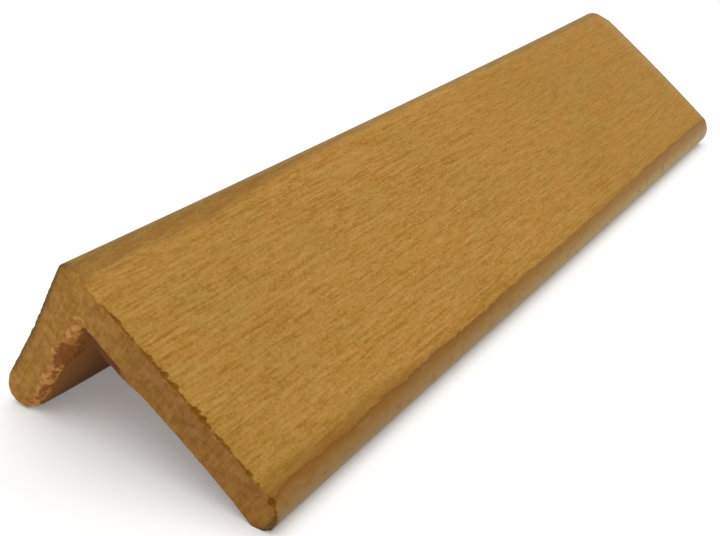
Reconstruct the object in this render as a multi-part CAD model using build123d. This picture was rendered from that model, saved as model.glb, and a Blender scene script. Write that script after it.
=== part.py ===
from build123d import *
import math
import os

# L-shaped edge trim: one length of extruded composite stock, sawn square at both ends.
# Millimetres, +Z up. It lies on a level floor on the free edges of its two legs, outer corner up.
# The length runs along Y. The long leg slopes down towards +X and the short leg towards -X.

length = 220.0  # from sawn end to sawn end
long_leg = 55.0  # outer corner to free edge, over the outer face
short_leg = 41.0  # the same on the other leg
wall = 8.5  # thickness of both legs
tip_outer_radius = 4.8  # free edges, on the side of the outer faces
tip_inner_radius = 3.2  # free edges, on the side of the inner faces
tip_land = 0.3  # least flat that the two leave between them
corner_radius = 2.6  # outer corner
root_radius = 0.8  # inner corner

# A thin wall limits the rounding of the free edges, both radii alike.
room = min(1, (wall - tip_land) / (tip_outer_radius + tip_inner_radius))
outer_round = tip_outer_radius * room
inner_round = tip_inner_radius * room

# The trim rests on the inner rounding of both free edges, so a line that touches these two is level.
lean = math.atan2(short_leg - wall, long_leg - wall)


def corner(face, point):
    """The vertex of a section that lies at a point."""
    return face.vertices().sort_by_distance((*point, 0))[0]


# Section with its outer corner at the origin, the long leg along +x and the short leg along -y.
outer = (0, 0)
long_over = (long_leg, 0)
long_under = (long_leg, -wall)
root = (wall, -wall)
short_under = (wall, -short_leg)
short_over = (0, -short_leg)

section = make_face(Polyline(outer, long_over, long_under, root, short_under, short_over, close=True))
section = fillet([corner(section, point) for point in (long_over, short_over)], outer_round)
section = fillet([corner(section, point) for point in (long_under, short_under)], inner_round)
section = fillet(corner(section, outer), corner_radius)
section = fillet(corner(section, root), root_radius)

# Turned until both free edges touch the floor, set down on it and centred over the origin.
section = Rot(0, 0, -math.degrees(lean)) * section
box = section.bounding_box()
section = Plane.XZ * Pos(-box.center().X, -box.min.Y) * section

l_trim = extrude(section, amount=length / 2, both=True)
l_trim.label = "l_trim"

os.makedirs("parts", exist_ok=True)
export_step(l_trim, "parts/l_trim.step")
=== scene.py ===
import math

import bpy
import numpy as np
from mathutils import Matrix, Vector, geometry, noise


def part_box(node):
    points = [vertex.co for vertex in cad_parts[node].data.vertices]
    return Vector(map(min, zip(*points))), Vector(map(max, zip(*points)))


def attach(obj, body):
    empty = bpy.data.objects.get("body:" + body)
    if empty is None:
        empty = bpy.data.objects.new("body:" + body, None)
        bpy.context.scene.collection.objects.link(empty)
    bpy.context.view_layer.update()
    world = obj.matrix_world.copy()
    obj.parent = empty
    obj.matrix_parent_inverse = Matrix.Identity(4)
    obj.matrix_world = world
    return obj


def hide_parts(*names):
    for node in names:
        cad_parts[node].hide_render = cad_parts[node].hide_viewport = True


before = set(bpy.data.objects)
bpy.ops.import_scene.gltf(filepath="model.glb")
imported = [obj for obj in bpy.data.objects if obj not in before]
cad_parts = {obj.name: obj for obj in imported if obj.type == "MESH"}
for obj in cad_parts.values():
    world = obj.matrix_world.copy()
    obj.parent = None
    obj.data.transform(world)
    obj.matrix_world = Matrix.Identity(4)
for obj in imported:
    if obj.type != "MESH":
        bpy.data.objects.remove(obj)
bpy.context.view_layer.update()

# Lengths are in millimetres until the mesh is made, and in metres from there on.
MM = 0.001

# Section of the trim, as in the CAD model.
long_leg = 55.0
short_leg = 41.0
wall = 8.5
tip_outer = 4.8
tip_inner = 3.2
corner_radius = 2.6
root_radius = 0.8

# The sample as it was cut and worn.
far_cut_skew = 0.06  # the far cut runs out of square by this much per millimetre of the long leg
far_cut_bow = 0.8  # and it is this much fuller in the middle
far_cut_middle = 22.0  # which lies here along the long leg
far_cut_reach = 55.0  # both are taken up over this length
ridge_wear = 1.3  # how much more sanding took off the outer corner at mid length than at the ends
ridge_wear_most = 0.7  # share of it taken off the plain section there; the ends stand a little proud
ridge_wear_middle = 0.96  # where that is, in half lengths from the near end
ridge_width = 4.5  # how far from the outer corner the wear reaches
sink = 0.3  # the long leg's inner face is this hollow
sink_start = 20.0  # from here along the leg
sink_rise = 18.0  # to its full depth over this way
sink_end = 54.0  # to here
sink_fall = 16.0  # back from its full depth over this way
burr_reach = 1.4  # how far a burr runs along the trim
fracture_grain = 0.12  # roughness of chipped places
torn_grain = 0.4  # roughness of torn places
faint_break = 0.18  # a broken place of this size keeps the colour of its surface
plain_break = 0.48  # and one of this size shows its own in full
dark_olive_reach = 1.6  # how far the darker olive runs from the sawn edge
side_red_reach = 2.2  # how far red runs on the long faces, in widths of the break
end_red_reach = 0.9  # and on the sawn ones

# Where the near end departs from the plain section: place, direction, size, spread and reach along the trim.
near_shape = [
    ((7.6, -40.1), (0.7, -0.7), -0.6, 4.0, 18.0),  # short leg's inner rounding, worn off
    ((2.7, -40.5), (-0.1, -1.0), 1.2, 3.4, 30.0),  # its outer rounding, fuller
    ((0.0, -20.0), (-1.0, 0.0), -0.42, 10.0, 60.0),  # its outer face, hollow
    ((52.6, -7.8), (0.5, -0.9), 0.6, 3.4, 40.0),  # long leg's inner rounding, fuller
]

# Mesh spacing: the outline's points away from the ends, and how many times finer it is at the sawn edges
# and close to them.
edge_finer = 4
close_finer = 2
flat_step = 0.8
inner_step = 1.0
round_step = 0.55
edge_rows = [0.2 * i for i in range(13)]
close_rows = [2.4 + 0.4 * i for i in range(1, 10)]
row_step = 1.6
cap_step = 0.3
cap_border = 3.0  # width of the fine border of a sawn end
sharp_angle = 50.0  # in degrees: edges that turn by more than this show as edges
short_side_reach = 50.0  # the materials tell the short leg's side from the long one's over this way

low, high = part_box("l_trim")
length = (high[1] - low[1]) / MM
half = length / 2
lean = math.atan2(short_leg - wall, long_leg - wall)


def straight(a, b):
    """A flat of the section from a to b, with the solid on its right.
    Returns its size, and a function of the way along it."""
    a = np.array(a, float)
    along = np.array(b, float) - a
    size = np.linalg.norm(along)
    along /= size
    out = np.array([-along[1], along[0]])
    return size, lambda t: (a + np.outer(t, along), np.tile(out, (len(t), 1)))


def rounding(centre, radius, start, end):
    """An arc of the section from one angle to another, in degrees: hollow where the angle grows."""
    size = radius * abs(math.radians(end - start))
    side = 1 if end < start else -1

    def at(t):
        angle = np.radians(start + (end - start) * t / size)
        ray = np.stack([np.cos(angle), np.sin(angle)], 1)
        return np.array(centre) + radius * ray, side * ray

    return size, at


# The outline, clockwise from the outer corner: zone, size and function of each stretch, and its mesh spacing.
outline = [
    ("long_outer", *straight((corner_radius, 0), (long_leg - tip_outer, 0)), flat_step),
    ("long_tip", *rounding((long_leg - tip_outer, -tip_outer), tip_outer, 90, 0), round_step),
    ("long_tip", *straight((long_leg, -tip_outer), (long_leg, tip_inner - wall)), round_step),
    ("long_tip", *rounding((long_leg - tip_inner, tip_inner - wall), tip_inner, 0, -90), round_step),
    ("long_inner", *straight((long_leg - tip_inner, -wall), (wall + root_radius, -wall)), inner_step),
    ("root", *rounding((wall + root_radius, -wall - root_radius), root_radius, 90, 180), round_step / 2),
    ("short_inner", *straight((wall, -wall - root_radius), (wall, tip_inner - short_leg)), inner_step),
    ("short_tip", *rounding((wall - tip_inner, tip_inner - short_leg), tip_inner, 0, -90), round_step),
    ("short_tip", *straight((wall - tip_inner, -short_leg), (tip_outer, -short_leg)), round_step),
    ("short_tip", *rounding((tip_outer, tip_outer - short_leg), tip_outer, -90, -180), round_step),
    ("short_outer", *straight((0, tip_outer - short_leg), (0, -corner_radius)), flat_step),
    ("corner", *rounding((corner_radius, -corner_radius), corner_radius, 180, 90), round_step),
]
starts = np.cumsum([0] + [size for zone, size, at, step in outline])
girth = starts[-1]


def zone_span(name):
    """Where a zone begins and ends along the outline."""
    inside = [i for i, stretch in enumerate(outline) if stretch[0] == name]
    return starts[inside[0]], starts[inside[-1] + 1]


def on_outline(s):
    """Points and outward normals of the section at places along its outline."""
    points = np.zeros((len(s), 2))
    normals = np.zeros((len(s), 2))
    which = np.clip(np.searchsorted(starts, s, side="right") - 1, 0, len(outline) - 1)
    for i, (zone, size, at, step) in enumerate(outline):
        here = which == i
        if here.any():
            points[here], normals[here] = at(s[here] - starts[i])
    return points, normals


def outline_places(finer):
    """Places along the outline at the mesh spacing, each gap divided by a whole number."""
    places = []
    for start, (zone, size, at, step) in zip(starts, outline):
        count = max(1, round(size / step)) * finer
        places.append(start + size * np.arange(count) / count)
    return np.concatenate(places)


edge_places = outline_places(edge_finer)
edge_points, edge_normals = on_outline(edge_places)
seed_step = 17  # each strip of an edge takes its noise this far from that of the strip before


def within(value):
    """A number kept between 0 and 1."""
    return min(1, max(0, value))


def wave(at, other=Vector((0, 0, 0))):
    """An uneven number around a half, from two sizes of noise."""
    return 0.5 + 0.8 * noise.noise(at + other) + 0.5 * noise.noise(at * 2.6 + other)


class Edge:
    """A sawn edge all around the section, with what is missing from it at each place of the finest outline:
    how far along the trim and into it, whether it is a hollow or a worn round, its colours and its burr."""

    def __init__(self, seed):
        self.seed = seed
        count = len(edge_places)
        self.along = np.zeros(count)
        self.into = np.zeros(count)
        self.hollow = np.zeros(count)
        self.dark = np.zeros(count)
        self.torn = np.zeros(count)
        self.red = np.zeros(count)
        self.dark_olive = np.zeros(count)
        self.burr = np.zeros(count)

    def stretch(self, first, last, fade):
        """The way from one place along the outline, and a share that fades in there and out at another."""
        way = (edge_places - first) % girth
        span = last - first
        share = np.clip(np.minimum(way, span - way) / fade, 0, 1)
        return way, share * share * (3 - 2 * share)

    def hang(self, first, last, size, grain=1.2, fade=2.0):
        """Leaves an uneven burr standing out of the face."""
        self.seed += seed_step
        way, share = self.stretch(first, last, fade)
        for i in np.nonzero(share)[0]:
            level = within(0.85 + 0.5 * noise.noise(Vector((way[i] / grain, self.seed, 0.5))))
            self.burr[i] = max(self.burr[i], size * share[i] * level)

    def stain(self, field, first, last, fade=2.0, strength=1.0):
        """Colours a stretch: red or darker olive."""
        np.maximum(field, strength * self.stretch(first, last, fade)[1], out=field)

    def break_off(self, first, last, along, into, grain=1.2, fade=2.0, hollow=0.0, dark=0.0, torn=0.0,
                  red=0.0, uneven=1.5, peak=1.0, soft=0.15):
        """Takes an uneven strip off from one place along the outline to another, between two sizes each way.
        Its looks replace those of a shallower strip, gradually as it gets deeper than that one."""
        self.seed += seed_step
        way, share = self.stretch(first, last, fade)
        reach = share ** peak
        for i in np.nonzero(reach)[0]:
            at = Vector((way[i] / grain, self.seed, 0.5))
            long_way = wave(at)
            deep_way = 0.6 * long_way + 0.4 * wave(at, Vector((0, 5, 0)))
            a = reach[i] * (along[0] + (along[1] - along[0]) * within(long_way) ** uneven)
            b = reach[i] * (into[0] + (into[1] - into[0]) * within(deep_way) ** uneven)
            win = within((b - self.into[i]) / soft)
            self.into[i] = max(b, self.into[i])
            fields = (self.along, self.hollow, self.dark, self.torn, self.red)
            for field, value in zip(fields, (max(a, self.along[i]), hollow, dark, torn, red)):
                field[i] += win * (value - field[i])

    def at(self, s):
        """The same figures at other places along the outline."""
        fields = (self.along, self.into, self.hollow, self.dark, self.torn, self.red, self.dark_olive, self.burr)
        return tuple(np.interp(s, edge_places, field, period=girth) for field in fields)


long_outer = zone_span("long_outer")
long_tip = zone_span("long_tip")
root = zone_span("root")
short_tip = zone_span("short_tip")
short_outer = zone_span("short_outer")
corner = zone_span("corner")

# Near end: a broken line of small chips along the long outer face and around the free edge, torn inner edges.
near_edge = Edge(3)
near_edge.break_off(0, girth, (0.05, 0.22), (0.05, 0.22), fade=0.01)
near_edge.break_off(-1.5, 9, (0.5, 1.1), (0.4, 0.9), grain=2.0, fade=3, torn=0.35)
near_edge.break_off(4, 48, (0.3, 0.55), (0.25, 0.5), grain=1.2, fade=5, hollow=0.55, dark=1.0)
near_edge.break_off(5, 48, (0.1, 1.1), (0.1, 0.9), grain=1.3, fade=4, hollow=0.6, dark=1.0, uneven=1.6)
near_edge.break_off(long_tip[0] - 1, long_tip[0] + 13, (0.15, 0.5), (0.2, 0.7), hollow=0.5, dark=0.9)
near_edge.break_off(long_tip[0] + 0.6, long_tip[0] + 3.6, (0.6, 1.0), (0.8, 1.2), fade=1.2,
                    hollow=0.7, dark=1.0)
near_edge.break_off(long_tip[0] + 7, long_tip[0] + 13, (0.4, 1.0), (0.5, 1.3), grain=1.5,
                    hollow=0.4, dark=1.0)
# Painted shade: dark, patchy red under the long leg's edge by the root, where the inner corner lies in shade.
near_edge.break_off(root[0] - 17, root[0] + 8, (0.4, 0.8), (0.5, 0.9), grain=3.0, fade=10,
                    hollow=0.5, dark=1.0, red=0.6, soft=0.3)
near_edge.hang(root[0] - 16, root[0] + 1, 1.8, grain=4.0, fade=8)
near_edge.break_off(root[0] - 1, short_tip[0] + 4, (0.9, 1.6), (1.3, 2.2), grain=4.0,
                    hollow=0.1, torn=1.0, uneven=1.0)
near_edge.stain(near_edge.red, root[1] + 11, short_tip[0] + 3, fade=4.0, strength=0.35)
# The red in this torn pocket is partly the fibres' own colour and partly painted shade in the hollow.
near_edge.break_off(root[1] + 1, root[1] + 18, (2.4, 3.2), (2.2, 2.7), grain=5.0, fade=8,
                    hollow=0.4, torn=1.0, red=1.0, uneven=1.0, peak=0.7, soft=0.6)
near_edge.break_off(short_tip[0] + 2, short_tip[0] + 9, (0.4, 1.2), (0.3, 1.0), grain=2.0, torn=0.4)
near_edge.break_off(short_outer[0], corner[1], (0.05, 0.35), (0.05, 0.45), grain=1.5, fade=3, hollow=0.2)
# Darker olive along the short leg's outer face and around the long leg's tip.
near_edge.stain(near_edge.dark_olive, short_outer[0], corner[1])
near_edge.stain(near_edge.dark_olive, long_tip[0] + 3, long_tip[1] + 1, fade=5.0, strength=2.2)
near_edge.hang(root[0] - 16, root[0] + 2, 2.6, grain=4.0, fade=9)

# Far end: cleaner, with the outer corner worn round and torn edges below.
far_edge = Edge(400)
# A thin dark line all round the far edge: painted shade where its small worn round turns away from the light.
far_edge.break_off(0, girth, (0.15, 0.35), (0.15, 0.35), fade=0.01, dark=0.6)
far_edge.break_off(root[0] - 40, short_tip[0] + 3, (0.2, 1.1), (0.2, 1.2), grain=1.9, fade=6,
                   hollow=0.5, torn=0.7)
far_edge.break_off(*short_outer, (0.1, 0.6), (0.1, 0.6), fade=4, hollow=0.6, dark=0.7)
far_edge.break_off(corner[0] - 6, corner[1] + 6, (5.0, 5.4), (2.3, 2.5), grain=4.0, fade=8, peak=1.6)
far_edge.break_off(long_tip[0] - 1, long_tip[1] + 1, (0.9, 1.2), (0.5, 0.8), grain=4.0, fade=4)


def rows():
    """Distances of the mesh's rows from the near end, and how many times finer than the outline each is."""
    near = [(e, edge_finer) for e in edge_rows] + [(e, close_finer) for e in close_rows]
    middle = length - 2 * near[-1][0]
    count = round(middle / row_step)
    plain = [(near[-1][0] + middle * i / count, 1) for i in range(1, count)]
    far = [(length - e, finer) for e, finer in reversed(near)]
    return near + plain + far


def scoop(share, hollow):
    """Where a surface point goes on a broken edge: shares of its size along its own face and below it."""
    angle = (1 - share) * math.pi / 4
    over = hollow * np.cos(angle) + (1 - hollow) * (1 - np.sin(angle))
    under = hollow * np.sin(angle) + (1 - hollow) * (1 - np.cos(angle))
    return over, under


def marks(share, size, gap, dark, torn, red, dark_olive, red_reach):
    """How much a surface point shows dark chips and painted shade, torn flakes, red and darker olive, at a
    distance from the sawn edge.
    Torn and red places fade out past the broken strip."""
    large = np.clip((size - faint_break) / (plain_break - faint_break), 0, 1)
    chipped_and_shaded = dark * np.clip((1 - share) * 3, 0, 1)
    flaked = torn * np.clip((1.6 - share) / 0.8, 0, 1)
    reddened = red * np.clip((red_reach - share) / (red_reach - 0.4), 0, 1)
    olive_darkened = dark_olive * np.clip(1 - gap / dark_olive_reach, 0, 1)
    return np.stack([chipped_and_shaded * large, flaked * large, reddened * large, olive_darkened])


def side_skin():
    """The swept surface: places, points and marks of its vertices, its faces, and its two end rings."""
    table = rows()
    places = {finer: outline_places(finer) for finer in (1, close_finer, edge_finer)}
    s = np.concatenate([places[finer] for e, finer in table])
    e = np.concatenate([np.full(len(places[finer]), e) for e, finer in table])
    points, normals = on_outline(s)
    looks = np.zeros((4, len(s)))
    inward = np.zeros(len(s))
    for edge, away, towards in ((near_edge, e.copy(), 1), (far_edge, length - e, -1)):
        along, into, hollow, *kinds, burr = edge.at(s)
        inward -= burr * np.clip(1 - away / burr_reach, 0, 1) ** 2
        share = away / np.maximum(along, 1e-6)
        looks = np.maximum(looks, marks(share, np.maximum(along, into), away, *kinds, side_red_reach))
        hit = share < 1
        over, under = scoop(share[hit], hollow[hit])
        e[hit] += towards * (along[hit] * over - away[hit])
        inward[hit] += into[hit] * under
    points = points - normals * inward[:, None]

    # Sanding rounded the outer corner off a little more at mid length.
    middle = ridge_wear_most - (e / half - ridge_wear_middle) ** 2
    from_corner = np.hypot(points[:, 0], points[:, 1])
    rub = ridge_wear * middle * np.clip(1 - from_corner / ridge_width, 0, 1) ** 2
    points = points - normals * rub[:, None]

    faces = []
    base = 0
    rings = []
    for (e0, finer0), (e1, finer1) in zip(table, table[1:]):
        count0, count1 = len(places[finer0]), len(places[finer1])
        a = base + np.arange(count0)
        b = base + count0 + np.arange(count1)
        rings.append(a)
        if count0 == count1:
            faces += np.stack([a, np.roll(a, -1), np.roll(b, -1), b], 1).tolist()
        elif count0 > count1:
            on, mid, after, next_b = a[0::2], a[1::2], np.roll(a[0::2], -1), np.roll(b, -1)
            faces += np.stack([on, mid, b], 1).tolist()
            faces += np.stack([mid, next_b, b], 1).tolist()
            faces += np.stack([mid, after, next_b], 1).tolist()
        else:
            on, mid, after, next_a = b[0::2], b[1::2], np.roll(b[0::2], -1), np.roll(a, -1)
            faces += np.stack([a, mid, on], 1).tolist()
            faces += np.stack([a, next_a, mid], 1).tolist()
            faces += np.stack([next_a, after, mid], 1).tolist()
        base += count0
    rings.append(base + np.arange(len(places[table[-1][1]])))
    return (s, e, points, *looks), faces, rings[0], rings[-1]


def inside_section(points):
    """True for the points that lie inside the finest outline."""
    inside = np.zeros(len(points), bool)
    for (ax, ay), (bx, by) in zip(edge_points, np.roll(edge_points, -1, 0)):
        if ay != by:
            cross = (ay > points[:, 1]) != (by > points[:, 1])
            inside ^= cross & (points[:, 0] < (bx - ax) * (points[:, 1] - ay) / (by - ay) + ax)
    return inside


def cap_grid():
    """Inner points of a sawn end: a hexagonal grid, fine along the edges and coarser in the middle."""
    kept = []
    border = (cap_step, 0.55 * cap_step, cap_border)
    middle = (2 * cap_step, cap_border + cap_step, math.inf)
    for step, nearest, furthest in (border, middle):
        x = np.arange(-1, long_leg + 1, step)
        y = np.arange(-short_leg - 1, 1, step * math.sqrt(0.75))
        grid = np.stack(np.meshgrid(x, y), 2)
        grid[1::2, :, 0] += step / 2
        grid = grid.reshape(-1, 2)
        grid = grid[inside_section(grid)]
        gap = np.array([np.min(np.hypot(*(edge_points - p).T)) for p in grid])
        kept.append(grid[(gap > nearest) & (gap < furthest)])
    return np.concatenate(kept)


def cap_faces(grid):
    """Triangles of a sawn end over the outline's points and then the grid's."""
    verts = [Vector(p) for p in np.concatenate([edge_points, grid])]
    ring = list(range(len(edge_points)))
    found = geometry.delaunay_2d_cdt(verts, [], [ring], 1, 1e-6)
    original = [o[0] if o else None for o in found[3]]
    return [[original[i] for i in face] for face in found[2]]


def cap_skin(edge, grid):
    """A sawn end's inner points, pushed in where something is missing: places, depth, points and marks."""
    nearest = np.array([np.argmin(np.hypot(*(edge_points - p).T)) for p in grid])
    gap = np.hypot(*(edge_points[nearest] - grid).T)
    along, into, hollow = edge.along[nearest], edge.into[nearest], edge.hollow[nearest]
    share = gap / np.maximum(into, 1e-6)
    over, under = scoop(np.minimum(1, share), hollow)
    hit = share < 1
    moved = grid - edge_normals[nearest] * np.where(hit, into * over - gap, 0)[:, None]
    depth = np.where(hit, along * under, 0)
    size = np.maximum(along, into)
    kinds = (field[nearest] for field in (edge.dark, edge.torn, edge.red, edge.dark_olive))
    looks = marks(share, size, gap, *kinds, end_red_reach)
    return edge_places[nearest], depth, moved, *looks


def rough(points, e, chip_and_shade, torn):
    """Breaks up the places with chips and painted shade, and the torn places: an offset for each vertex, in
    the section and along the trim.
    """
    offset = np.zeros((len(e), 3))
    for i in np.nonzero(np.maximum(chip_and_shade, torn) > 0.01)[0]:
        at = Vector((points[i, 0], points[i, 1], e[i]))
        crumbs = noise.noise_vector(at * 1.6) * 0.6 + noise.noise_vector(at * 4.1) * 0.4
        flakes = noise.noise_vector(at * 0.4) * 0.86 + noise.noise_vector(at * 1.2) * 0.14
        offset[i] = crumbs * (fracture_grain * chip_and_shade[i]) + flakes * (torn_grain * torn[i])
    return offset


def reshape(points, e):
    """Section points with the near end's departures from the plain section."""
    moved = points.copy()
    for place, towards, size, spread, reach in near_shape:
        gap = np.hypot(*(points - place).T)
        share = np.exp(-(gap / spread) ** 2) * np.clip(1 - e / reach, 0, 1) ** 2
        moved += np.outer(size * share, towards)
    return moved


def attribute(mesh, name, values):
    """A number for each vertex, which the materials read by name."""
    made = mesh.attributes.new(name, "FLOAT", "POINT")
    made.data.foreach_set("value", np.asarray(values, np.float32))


def make_trim():
    """The whole trim as one closed mesh in the part's frame."""
    side, faces, near_ring, far_ring = side_skin()
    grid = cap_grid()
    cap = cap_faces(grid)
    count = len(side[0])
    parts = [side]
    inner = (side[0] >= long_tip[1]) & (side[0] <= short_tip[0])
    materials = [2 if all(inner[i] for i in face) else 0 for face in faces]
    for ring, edge, start, towards in ((near_ring, near_edge, 0, 1), (far_ring, far_edge, length, -1)):
        places, depth, moved, *looks = cap_skin(edge, grid)
        index = np.concatenate([ring, count + np.arange(len(grid))])
        for face in cap:
            triangle = [int(index[i]) for i in face]
            faces.append(triangle if towards < 0 else triangle[::-1])
        materials += [1] * len(cap)
        parts.append((places, start + towards * depth, moved, *looks))
        count += len(grid)
    s, e, points, chip_and_shade, torn, red, dark_olive = (np.concatenate([part[i] for part in parts]) for i in range(7))
    offset = rough(points, e, np.maximum(chip_and_shade, red), torn)
    points = reshape(points + offset[:, :2], e)
    e = e + offset[:, 2]

    # The long leg's inner face is slightly hollow.
    across = points[:, 0]
    dip = np.clip((across - sink_start) / sink_rise, 0, 1) * np.clip((sink_end - across) / sink_fall, 0, 1)
    below = np.clip(-points[:, 1] / wall, 0, 1)
    points[:, 1] += sink * np.sin(dip * math.pi / 2) ** 2 * below

    # The far cut is out of square and not quite straight.
    bow = far_cut_bow * (1 - (across / far_cut_middle - 1) ** 2)
    squint = far_cut_skew * (long_leg / 2 - across) + bow
    e = e + squint * np.clip((e - length) / far_cut_reach + 1, 0, 1)

    # Turned so that both free edges touch the floor.
    turn = np.array([[math.cos(lean), -math.sin(lean)], [math.sin(lean), math.cos(lean)]])
    rest = edge_points @ turn
    flat = points @ turn
    x = (flat[:, 0] - (rest[:, 0].min() + rest[:, 0].max()) / 2) * MM + (low[0] + high[0]) / 2
    z = (flat[:, 1] - rest[:, 1].min()) * MM + low[2]
    y = low[1] + e * MM

    mesh = bpy.data.meshes.new("trim_body")
    mesh.from_pydata(np.stack([x, y, z], 1).tolist(), [], faces)
    mesh.polygons.foreach_set("material_index", materials)
    mesh.shade_smooth()
    mesh.set_sharp_from_angle(angle=math.radians(sharp_angle))

    # What the materials need to know of the outline.
    apex = (corner[0] + corner[1]) / 2
    from_apex = np.abs((s - apex + girth / 2) % girth - girth / 2)
    long_end = long_outer[1]
    short_start = short_outer[0]
    to_tip = np.where(s < long_end, long_end - s, np.where(s > short_start, s - short_start, 0))
    past_tip = np.where((s >= long_end) & (s <= short_start), np.minimum(s - long_end, short_start - s), 0)
    attribute(mesh, "from_corner", from_apex)
    attribute(mesh, "from_tip", to_tip - past_tip)
    attribute(mesh, "chip_and_shade", chip_and_shade)
    attribute(mesh, "torn", torn)
    attribute(mesh, "red", red)
    attribute(mesh, "dark_olive", dark_olive)
    attribute(mesh, "short_side", np.clip(1 - across / short_side_reach, 0, 1))
    mesh.update()
    mesh.validate()
    piece = bpy.data.objects.new("trim_body", mesh)
    bpy.context.scene.collection.objects.link(piece)
    return piece


class Graph:
    """The node tree of a material or world, with short ways to add to it."""

    def __init__(self, owner):
        owner.use_nodes = True
        self.owner = owner
        self.tree = owner.node_tree
        self.tree.nodes.clear()
        self.place = None

    def add(self, kind, inputs=None, **settings):
        """A node, with a value or a link for each of the given inputs."""
        made = self.tree.nodes.new(kind)
        for key, value in settings.items():
            setattr(made, key, value)
        for key, value in (inputs or {}).items():
            if isinstance(value, bpy.types.NodeSocket):
                self.tree.links.new(value, made.inputs[key])
            else:
                made.inputs[key].default_value = value
        return made

    def calc(self, operation, a, b):
        """A number made from two others."""
        return self.add("ShaderNodeMath", {0: a, 1: b}, operation=operation).outputs[0]

    def times(self, a, b):
        return self.calc("MULTIPLY", a, b)

    def centred(self, value):
        """A noise's value, moved to lie around 0."""
        return self.calc("SUBTRACT", value, 0.5)

    def total(self, *terms):
        """The sum of numbers, each with its weight."""
        result = None
        for weight, socket in terms:
            term = self.times(socket, weight)
            result = term if result is None else self.calc("ADD", result, term)
        return result

    def value(self, name):
        """A number that the mesh holds for each vertex."""
        return self.add("ShaderNodeAttribute", attribute_name=name).outputs["Fac"]

    def step(self, value, start, end, low=0.0, high=1.0):
        """A smooth change from low to high as the value goes from start to end."""
        inputs = {"Value": value, "From Min": start, "From Max": end, "To Min": low, "To Max": high}
        return self.add("ShaderNodeMapRange", inputs, interpolation_type="SMOOTHSTEP").outputs[0]

    def where(self):
        """Places on the object."""
        if self.place is None:
            self.place = self.add("ShaderNodeTexCoord").outputs["Object"]
        return self.place

    def noise(self, across, along, detail=2.0, roughness=0.5, seed=0.0):
        """Noise with features of given sizes in millimetres across and along the trim."""
        scale = (1 / (across * MM), 1 / (along * MM), 1 / (across * MM))
        at = self.add("ShaderNodeVectorMath", {0: self.where(), 1: scale, 2: (seed, seed * 0.7, -seed)},
                      operation="MULTIPLY_ADD").outputs[0]
        inputs = {"Vector": at, "Scale": 1.0, "Detail": detail, "Roughness": roughness}
        return self.add("ShaderNodeTexNoise", inputs, noise_dimensions="3D").outputs["Fac"]

    def mix(self, share, a, b, blend="MIX"):
        """A colour that goes from a to b as the share goes from 0 to 1."""
        made = self.add("ShaderNodeMix", data_type="RGBA", blend_type=blend, clamp_factor=True)
        for key, value in ((0, share), (6, a), (7, b)):
            if isinstance(value, bpy.types.NodeSocket):
                self.tree.links.new(value, made.inputs[key])
            else:
                made.inputs[key].default_value = value if key == 0 else (*value, 1)
        return made.outputs[2]

    def blend(self, share, a, b):
        """A number that goes from a to b as the share goes from 0 to 1."""
        return self.add("ShaderNodeMix", {0: share, 2: a, 3: b}, data_type="FLOAT").outputs[0]

    def bump(self, height, depth, normal=None):
        """A normal from a height between 0 and 1 that stands for a depth in millimetres."""
        inputs = {"Strength": 1.0, "Distance": depth * MM, "Height": height}
        if normal is not None:
            inputs["Normal"] = normal
        return self.add("ShaderNodeBump", inputs).outputs[0]

    def finish(self, colour, roughness, normal, gloss):
        """Joins all up in one shader and returns the material."""
        fixed = {"IOR": composite_ior, "Specular IOR Level": gloss}
        shader = self.add("ShaderNodeBsdfPrincipled", fixed)
        self.tree.links.new(colour, shader.inputs["Base Color"])
        self.tree.links.new(roughness, shader.inputs["Roughness"])
        self.tree.links.new(normal, shader.inputs["Normal"])
        self.tree.links.new(shader.outputs[0], self.add("ShaderNodeOutputMaterial").inputs[0])
        return self.owner


class TrimGraph(Graph):
    """A graph for the trim's long surfaces, which knows where a place lies on them."""

    def __init__(self, owner):
        super().__init__(owner)
        self.from_corner = self.value("from_corner")
        self.from_tip = self.value("from_tip")
        self.along = self.add("ShaderNodeSeparateXYZ", {0: self.where()}).outputs["Y"]

    def from_near(self, start, end):
        """A share that grows between two distances from the near end."""
        return self.step(self.along, (start - half) * MM, (end - half) * MM)


# Gloss of the surfaces.
composite_ior = 1.48
outer_gloss = 0.24
inner_gloss = 0.05
sawn_gloss = 0.2
broken_roughness = 0.9

# Colours, as they look in plain light, except those marked as painted light or shade.
sanded_dark = (0.310, 0.128, 0.004)
sanded_light = (0.478, 0.262, 0.066)
sanded_warm = (0.436, 0.207, 0.035)
sanded_cool = (0.412, 0.216, 0.037)
far_pale = (0.420, 0.275, 0.120)
skin = (0.308, 0.144, 0.015)
skin_near = (0.265, 0.114, 0.009)
skin_dark = (0.235, 0.100, 0.006)
# Painted light: the free edges' underside, made lighter and yellower for the white floor's bounce and
# reflection, most at the far end.
skin_floor_lit = (0.354, 0.202, 0.044)
skin_floor_lit_near = (0.318, 0.176, 0.039)
skin_floor_lit_far = (0.408, 0.270, 0.066)
skin_mauve = (0.315, 0.148, 0.052)
# Dark band at the free edges: partly wear at the edge of the sanding, partly painted shade of the rounding.
rim_dark = (0.228, 0.090, 0.007)
line_dark = (0.190, 0.070, 0.004)
# Skin of the inner faces, made redder as painted warm bounce light in the shaded inside.
inside_skin_and_warm_bounce = (0.375, 0.142, 0.022)
sawn = (0.372, 0.163, 0.024)
sawn_light = (0.475, 0.232, 0.050)
sawn_olive = (0.375, 0.192, 0.018)
sawn_pink = (0.400, 0.185, 0.052)
sawn_dark = (0.245, 0.094, 0.005)
# Dark colour of chips, also used as painted shade by the root and along the far edge.
chipped_and_shaded = (0.210, 0.072, 0.002)
# Darker olive near some sawn edges.
dark_olive_tone = (0.105, 0.055, 0.006)
torn_pale = (0.680, 0.335, 0.095)
torn_mid = (0.450, 0.180, 0.031)
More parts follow.
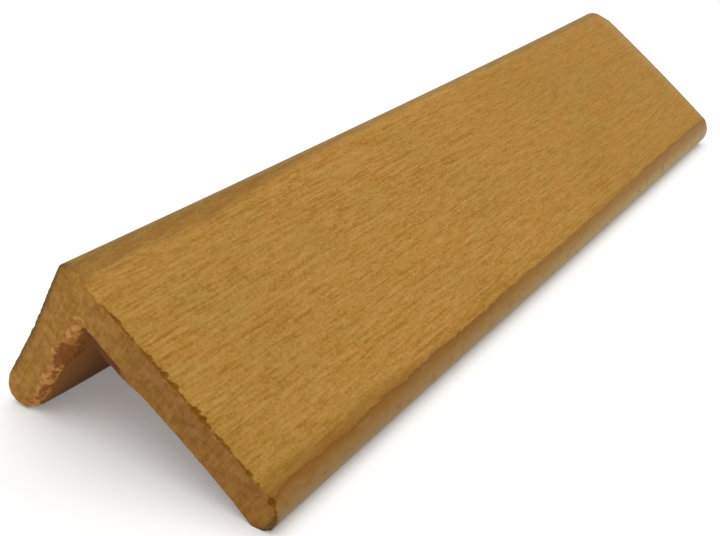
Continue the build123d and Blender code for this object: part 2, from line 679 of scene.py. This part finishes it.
# Red of torn fibres, also used as dark-red painted shade by the root and in the torn pocket.
torn_red_and_shade = (0.300, 0.098, 0.024)
# Painted shade: dark red where chips and red meet, under the burr by the root.
painted_shade_under_burr = (0.130, 0.032, 0.007)

# Tints, which multiply a colour.
worn_tint = (0.86, 0.90, 0.80)
olive_tint = (0.82, 0.91, 0.89)
sawn_tip_tint = (0.930, 0.890, 0.800)
sawn_corner_tint = (1.205, 1.260, 1.063)


def fracture(g, colour):
    """Puts the colours of broken places over a colour: darker olive by some sawn edges, dark chips that also
    carry painted shade, red fibres, painted dark-red shade under the burr by the root, and pale torn flakes.
    Returns the colour and how broken each place is."""
    chip_and_shade = g.value("chip_and_shade")
    torn = g.value("torn")
    red = g.value("red")
    grain = g.noise(0.45, 0.6, 3.0, 0.6, 31.0)
    dark = g.times(g.step(chip_and_shade, 0.15, 0.8), g.step(grain, 0.25, 0.6, 0.6, 1.0))
    colour = g.mix(dark, colour, chipped_and_shaded)
    dark_olive = g.times(g.step(g.value("dark_olive"), 0.0, 1.1), g.step(grain, 0.25, 0.65, 0.6, 1.0))
    colour = g.mix(dark_olive, colour, dark_olive_tone)
    flake = g.noise(1.5, 1.7, 2.0, 0.6, 33.0)
    spread = g.noise(3.6, 4.0, 2.0, 0.5, 35.0)
    pale = g.mix(g.step(flake, 0.36, 0.64), torn_mid, torn_pale)
    patchy = g.total((1.0, torn), (1.2, g.centred(spread)), (1.0, g.centred(flake)))
    colour = g.mix(g.step(torn, 0.3, 1.0, 0.0, 0.45), colour, torn_red_and_shade)
    colour = g.mix(g.times(g.step(patchy, 0.2, 0.9), g.step(torn, 0.0, 0.6)), colour, pale)
    red_patches = g.total((1.0, red), (-2.2, g.centred(flake)))
    colour = g.mix(g.times(g.step(red_patches, 0.2, 0.6), g.step(red, 0.0, 0.3, 0.0, 0.9)), colour, torn_red_and_shade)
    # Painted shade: where chips and red meet, under the burr by the root, the colour goes dark red.
    under = g.times(chip_and_shade, red)
    colour = g.mix(g.step(under, 0.1, 0.5, 0.0, 0.75), colour, painted_shade_under_burr)
    return colour, g.calc("MAXIMUM", g.calc("MAXIMUM", chip_and_shade, red), torn)


def crumbled(g, broken, roughness, normal):
    """Makes the broken places dull and crumbly: roughness and normal."""
    crumbs = g.times(g.noise(0.5, 0.7, 2.0, 0.5, 21.0), broken)
    return g.blend(broken, roughness, broken_roughness), g.bump(crumbs, 0.2, normal)


def sander_reach(g):
    """Where the sander reached: its limits wander along the rounded edges.
    Returns the place across a free edge, how far it is sanded there, and how far it is sanded in all."""
    wander = g.centred(g.noise(40.0, 8.0, 3.0, 0.55, 5.0))
    ragged = g.centred(g.noise(0.8, 2.2, 2.0, 0.5, 8.0))
    drift = g.total((2.0, wander), (1.0, ragged))
    band = g.blend(g.from_near(30, 70), 4.7, 2.5)
    band = g.blend(g.from_near(70, 110), band, 1.5)
    band = g.blend(g.from_near(135, 175), band, 2.3)
    over_corner = g.step(g.total((1.0, g.from_corner), (-1.0, band), (1.0, drift)), -1.3, 1.1)
    uneven = g.blend(g.from_near(50, 110), 1.2, 0.7)
    tip_place = g.total((1.0, g.from_tip), (uneven, drift), (-0.7, g.from_near(120, 190)))
    softer = g.from_near(60, 130)
    over_tip = g.step(tip_place, g.blend(softer, -1.05, -1.2), g.blend(softer, -0.8, -0.65))
    return tip_place, over_tip, g.times(over_corner, over_tip)


def streaks(g):
    """Sanding streaks: long fine ones, dashes and specks, fainter towards the far end."""
    fine = g.noise(0.58, 5.5, 1.0, 0.5, 1.0)
    dash = g.noise(0.66, 2.4, 1.0, 0.5, 2.0)
    long = g.noise(0.58, 20.0, 1.0, 0.5, 3.0)
    speck = g.noise(0.54, 0.70, 1.0, 0.5, 4.0)
    grain = g.total((0.32, fine), (0.17, dash), (0.20, long), (0.31, speck))
    clear = g.blend(g.from_near(90, 170), 1.0, 0.72)
    return g.calc("ADD", g.times(g.centred(grain), clear), 0.5)


def sanded_face(g, streak):
    """Colour of the sanded flats: streaks in loose clusters over warm and cool patches, duller at the ends
    and edges."""
    cluster = g.noise(3.0, 14.0, 1.0, 0.5, 9.0)
    deep = g.total((1.0, streak), (0.10, cluster))
    patch = g.noise(7.0, 12.0, 2.0, 0.5, 6.0)
    shade = g.noise(22.0, 40.0, 2.0, 0.5, 7.0)
    face = g.mix(g.step(patch, 0.3, 0.7), sanded_warm, sanded_cool)
    face = g.mix(g.step(deep, 0.600, 0.360), face, sanded_dark)
    face = g.mix(g.step(streak, 0.485, 0.67), face, sanded_light)
    ends = g.calc("ADD", g.from_near(55, 15), g.from_near(110, 165))
    by_edge = g.times(g.from_near(1.6, 0.2), g.step(g.from_corner, 8.0, 13.0))
    by_tip = g.step(g.from_tip, 3.5, -0.5)
    worn = g.total((0.45, ends), (0.35, g.step(shade, 0.35, 0.7)), (0.4, by_tip), (0.8, by_edge))
    face = g.mix(worn, face, g.mix(1.0, face, worn_tint, "MULTIPLY"))
    pale = g.times(g.from_near(214, 220), g.step(g.value("short_side"), 1.0, 0.85, 0.0, 0.42))
    return g.mix(pale, face, far_pale)


def moulded_skin(g, streak, face):
    """Colour of the skin on the rounded edges and inside: smooth, with blotches and faint lines from the die,
    and rubbed where it meets the sanded face. The free edges' underside is painted lighter, most at the far
    end, as painted light from the white floor, and the inner faces are redder as painted warm bounce light.
    Returns it with the lines and the clouds in it."""
    die = g.noise(0.9, 120.0, 3.0, 0.6, 12.0)
    cloud = g.noise(2.5, 9.0, 3.0, 0.55, 13.0)
    cover = g.mix(g.from_near(35, 110), skin_near, skin)
    cover = g.mix(g.times(g.step(cloud, 0.6, 0.3), 0.6), cover, skin_dark)
    cover = g.mix(g.times(g.step(die, 0.55, 0.35), 0.3), cover, skin_dark)
    # Painted light: the underside of the free edges is made lighter, most at the far end, for the white
    # floor's bounce and reflection.
    floor_lit = g.mix(g.from_near(60, 190), g.mix(g.from_near(20, 65), skin_floor_lit_near, skin_floor_lit), skin_floor_lit_far)
    cover = g.mix(g.step(g.from_tip, -1.7, -4.4, 0.0, 0.85), cover, floor_lit)
    blotch = g.noise(1.6, 3.2, 2.0, 0.5, 14.0)
    mauve = g.times(g.step(g.from_tip, -5.5, -3.5, 0.25, 1.0), g.from_near(120, 60))
    mauve = g.times(mauve, g.step(g.from_corner, 5.0, 9.0))
    cover = g.mix(g.times(g.step(blotch, 0.50, 0.66, 0.0, 0.7), mauve), cover, skin_mauve)
    cover = g.mix(g.step(blotch, 0.46, 0.32, 0.0, 0.55), cover, skin_dark)
    # Painted light: deep inside, the skin turns redder for the warm bounce in the shaded inside.
    cover = g.mix(g.step(g.from_tip, -9.0, -14.0), cover, inside_skin_and_warm_bounce)
    rubbed = g.times(g.step(g.from_tip, -0.5, 1.0), g.step(streak, 0.40, 0.66, 0.05, 0.5))
    return g.mix(rubbed, cover, face), die, cloud


def worn_and_shaded_bands(g, colour, tip_place, cloud):
    """Adds a dark line and band where the sanded face ends at the free edges, wider close to the near end,
    and an olive tone along the outer corner. The band is partly wear and partly painted shade where the
    rounding turns away from the light."""
    # The band is partly wear and partly painted shade of the rounding, widest at the near end.
    upper = g.blend(g.from_near(25, 60), 3.2, -0.3)
    rim = g.times(g.step(tip_place, -2.6, -1.2), g.step(tip_place, upper, -1.0))
    rim = g.times(rim, g.blend(g.from_near(145, 180), g.blend(g.from_near(60, 100), 0.72, 0.3), 0.75))
    line = g.times(g.step(tip_place, -1.7, -1.1), g.step(tip_place, -0.75, -0.95))
    line = g.times(line, g.blend(g.from_near(145, 180), g.blend(g.from_near(60, 100), 0.8, 0.2), 0.4))
    colour = g.mix(line, colour, line_dark)
    colour = g.mix(g.times(rim, g.step(cloud, 0.3, 0.6, 0.6, 1.0)), colour, rim_dark)
    olive = g.mix(1.0, colour, olive_tint, "MULTIPLY")
    return g.mix(g.step(g.from_corner, 2.5, 1.2), colour, olive)


def trim_surface(name, gloss):
    """Sanded outer flats with fine streaks; smoother, darker skin on the rounded edges and inside."""
    g = TrimGraph(bpy.data.materials.new(name))
    tip_place, over_tip, reach = sander_reach(g)
    streak = streaks(g)
    face = sanded_face(g, streak)
    cover, die, cloud = moulded_skin(g, streak, face)
    colour = worn_and_shaded_bands(g, g.mix(reach, cover, face), tip_place, cloud)
    colour, broken = fracture(g, colour)
    roughness = g.blend(reach, g.blend(cloud, 0.38, 0.52), g.blend(streak, 0.88, 0.66))
    roughness = g.blend(g.step(g.from_corner, 4.0, 2.0), roughness, 0.56)
    normal = g.bump(g.times(streak, reach), 0.10)
    normal = g.bump(g.times(die, g.calc("SUBTRACT", 1.0, reach)), 0.02, normal)
    normal = g.bump(over_tip, 0.04, normal)
    roughness, normal = crumbled(g, broken, roughness, normal)
    return g.finish(colour, roughness, normal, gloss)


def sawn_ends():
    """Sawn ends: mottled, with faint saw lines along the short leg."""
    g = Graph(bpy.data.materials.new("sawn_ends"))
    turned = g.add("ShaderNodeVectorRotate", {"Vector": g.where(), "Axis": (0, 1, 0), "Angle": -lean},
                   rotation_type="AXIS_ANGLE").outputs[0]
    line_scale = (1 / (0.6 * MM), 1 / (4 * MM), 1 / (7 * MM))
    stretched = g.add("ShaderNodeVectorMath", {0: turned, 1: line_scale}, operation="MULTIPLY").outputs[0]
    lines = g.add("ShaderNodeTexNoise", {"Vector": stretched, "Scale": 1.0, "Detail": 3.0, "Roughness": 0.6})
    lines = lines.outputs["Fac"]
    mottle = g.noise(2.2, 4.0, 1.0, 0.5, 2.0)
    patch = g.noise(4.5, 6.0, 2.0, 0.5, 3.0)
    grit = g.noise(0.7, 1.0, 2.0, 0.5, 4.0)
    colour = g.mix(g.step(patch, 0.52, 0.68, 0.0, 0.7), sawn, sawn_olive)
    colour = g.mix(g.step(patch, 0.50, 0.36, 0.0, 0.7), colour, sawn_pink)
    colour = g.mix(g.step(mottle, 0.58, 0.28, 0.0, 0.5), colour, sawn_dark)
    colour = g.mix(g.step(mottle, 0.45, 0.75, 0.0, 0.5), colour, sawn_light)
    colour = g.mix(g.step(lines, 0.54, 0.32, 0.0, 0.45), colour, sawn_dark)
    colour = g.mix(g.step(lines, 0.50, 0.72, 0.0, 0.45), colour, sawn_light)
    colour = g.mix(g.step(grit, 0.48, 0.30, 0.0, 0.35), colour, sawn_dark)
    colour = g.mix(g.step(grit, 0.52, 0.70, 0.0, 0.35), colour, sawn_light)
    tint = g.mix(g.step(g.value("short_side"), 0.45, 1.0), sawn_tip_tint, sawn_corner_tint)
    colour = g.mix(1.0, colour, tint, "MULTIPLY")
    colour, broken = fracture(g, colour)
    normal = g.bump(grit, 0.08, g.bump(lines, 0.10))
    roughness, normal = crumbled(g, broken, g.blend(mottle, 0.75, 0.6), normal)
    return g.finish(colour, roughness, normal, sawn_gloss)


trim = make_trim()
trim.data.materials.append(trim_surface("trim_surface", outer_gloss))
trim.data.materials.append(sawn_ends())
trim.data.materials.append(trim_surface("trim_inside", inner_gloss))
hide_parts("l_trim")
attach(trim, "root")

# Floor and light: a white floor, a broad soft lamp, and a sky that looks white and lights less.
floor_reach = 3.0  # from its middle to each side
floor_colour = (0.82, 0.82, 0.82, 1)
floor_glow = 0.2
lamp_strength = 2.0
lamp_width = 60.0  # in degrees
lamp_way = (-0.14, -0.02, -1.0)
sky_strength = 0.42
white = (1, 1, 1, 1)


def seen_directly(g):
    """1 for what the camera sees, also in reflections and through clear things."""
    path = g.add("ShaderNodeLightPath")
    seen = g.calc("MAXIMUM", path.outputs["Is Camera Ray"], path.outputs["Is Glossy Ray"])
    return g.calc("MAXIMUM", seen, path.outputs["Is Transmission Ray"])


def make_floor():
    """A plain white floor that keeps the shadow."""
    mesh = bpy.data.meshes.new("floor")
    corners = [(x * floor_reach, y * floor_reach, 0) for x, y in ((-1, -1), (1, -1), (1, 1), (-1, 1))]
    mesh.from_pydata(corners, [], [(0, 1, 2, 3)])
    floor = bpy.data.objects.new("floor", mesh)
    bpy.context.scene.collection.objects.link(floor)
    g = Graph(bpy.data.materials.new("floor"))
    matt = g.add("ShaderNodeBsdfDiffuse", {"Color": floor_colour}).outputs[0]
    strength = g.times(seen_directly(g), floor_glow)
    glow = g.add("ShaderNodeEmission", {"Color": white, "Strength": strength}).outputs[0]
    both = g.add("ShaderNodeAddShader", {0: matt, 1: glow}).outputs[0]
    g.tree.links.new(both, g.add("ShaderNodeOutputMaterial").inputs[0])
    mesh.materials.append(g.owner)


def make_light():
    """Even light from all around and a broad soft lamp from above."""
    lamp = bpy.data.lights.new("key", "SUN")
    lamp.energy = lamp_strength
    lamp.angle = math.radians(lamp_width)
    made = bpy.data.objects.new("key", lamp)
    made.rotation_euler = Vector(lamp_way).to_track_quat("-Z", "Y").to_euler()
    bpy.context.scene.collection.objects.link(made)
    g = Graph(bpy.data.worlds.new("studio"))
    strength = g.blend(seen_directly(g), sky_strength, 1.0)
    sky = g.add("ShaderNodeBackground", {"Color": white, "Strength": strength})
    g.tree.links.new(sky.outputs[0], g.add("ShaderNodeOutputWorld").inputs[0])
    bpy.context.scene.world = g.owner


make_floor()
make_light()

# Camera of the photograph.
camera_place = (0.10959, -0.19850, 0.10911)
camera_azimuth = 34.706
camera_elevation = 27.498
focal_pixels = 973.4
image_width = 720

camera = bpy.data.cameras.new("camera")
camera.sensor_fit = "HORIZONTAL"
camera.sensor_width = 36.0
camera.lens = camera.sensor_width * focal_pixels / image_width
camera.clip_start = 0.005
camera.clip_end = 20
viewer = bpy.data.objects.new("camera", camera)
viewer.location = camera_place
viewer.rotation_euler = (math.radians(90 - camera_elevation), 0, math.radians(camera_azimuth))
bpy.context.scene.collection.objects.link(viewer)
bpy.context.scene.camera = viewer
bpy.context.scene.view_settings.view_transform = "Standard"
